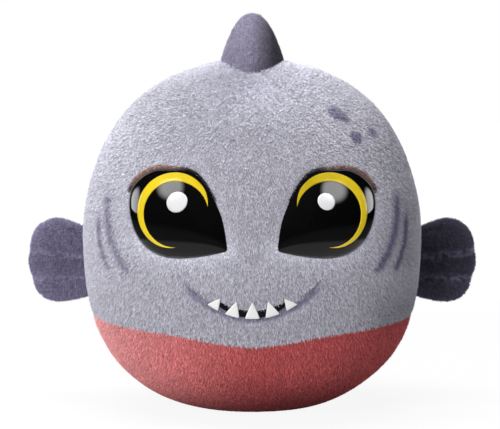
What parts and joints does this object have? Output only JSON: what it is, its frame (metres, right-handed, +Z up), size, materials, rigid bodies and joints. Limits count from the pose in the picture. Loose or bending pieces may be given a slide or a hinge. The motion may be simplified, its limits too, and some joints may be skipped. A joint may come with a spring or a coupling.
{
  "type": "round plush fish",
  "caption": "Round plush fish that sits on a flat base, with a red belly, moulded eyes, felt teeth and soft stuffed fins that bend at their seams.",
  "frame": {"origin": "centre of the flat base that the toy rests on", "axes": "+Z up through the middle of the ball, -Y towards the face, +X towards the right-hand eye as the face is looked at"},
  "size_m": [0.2682, 0.2364, 0.23],
  "materials": {
    "grey_plush": "short dense pile, lilac grey",
    "red_plush": "short dense pile, dusty red",
    "fin_plush": "short dense pile, purple grey",
    "rust_pile": "short pile strip, dark reddish brown",
    "black_eye": "polished moulded plastic",
    "yellow_ring": "gloss inlay",
    "white_dot": "gloss inlay",
    "washer_plastic": "plain moulded",
    "black_satin": "smooth satin weave",
    "white_felt": "thin felt",
    "polyester_filling": "loose fibre",
    "pouch_cloth": "plain cotton weave",
    "pellets": "loose beads, drawn as one mass"
  },
  "bodies": {
    "body": {"face_panel": "grey_plush", "back_panel_left": "grey_plush", "back_panel_right": "grey_plush", "belly_front_panel": "red_plush", "belly_back_panel": "red_plush", "base_disc": "red_plush", "body_filling": "polyester_filling", "pellet_pouch": "pouch_cloth", "pellets": "pellets", "left_eye_dome": "black_eye", "left_eye_iris": "yellow_ring", "left_eye_dot": "white_dot", "left_eye_washer": "washer_plastic", "left_eye_lash": "rust_pile", "right_eye_dome": "black_eye", "right_eye_iris": "yellow_ring", "right_eye_dot": "white_dot", "right_eye_washer": "washer_plastic", "right_eye_lash": "rust_pile", "mouth_lining": "black_satin", "tooth_1": "white_felt", "tooth_2": "white_felt", "tooth_3": "white_felt", "tooth_4": "white_felt", "tooth_5": "white_felt"},
    "left_fin": {"left_fin_front_cover": "fin_plush", "left_fin_back_cover": "fin_plush", "left_fin_filling": "polyester_filling"},
    "right_fin": {"right_fin_front_cover": "fin_plush", "right_fin_back_cover": "fin_plush", "right_fin_filling": "polyester_filling"},
    "tail_fin": {"tail_fin_right_cover": "fin_plush", "tail_fin_left_cover": "fin_plush", "tail_fin_filling": "polyester_filling"},
    "dorsal_fin": {"dorsal_fin_left_cover": "fin_plush", "dorsal_fin_right_cover": "fin_plush", "dorsal_fin_filling": "polyester_filling"}
  },
  "joints": [
    {"name": "left_fin_flap", "type": "hinge", "parent": "body", "child": "left_fin", "pos_m": [-0.09562, 0.022, 0.0845], "axis": [0, 0, 1], "range_deg": [-30, 30], "stiffness_Nm_per_rad": 0.01},
    {"name": "right_fin_flap", "type": "hinge", "parent": "body", "child": "right_fin", "pos_m": [0.09562, 0.022, 0.0845], "axis": [0, 0, 1], "range_deg": [-30, 30], "stiffness_Nm_per_rad": 0.01},
    {"name": "tail_fin_swing", "type": "hinge", "parent": "body", "child": "tail_fin", "pos_m": [0, 0.09798, 0.082], "axis": [0, 0, 1], "range_deg": [-30, 30], "stiffness_Nm_per_rad": 0.01},
    {"name": "dorsal_fin_tilt", "type": "hinge", "parent": "body", "child": "dorsal_fin", "pos_m": [0, 0, 0.2045], "axis": [0, 1, 0], "range_deg": [-10, 10], "stiffness_Nm_per_rad": 0.02}
  ]
}
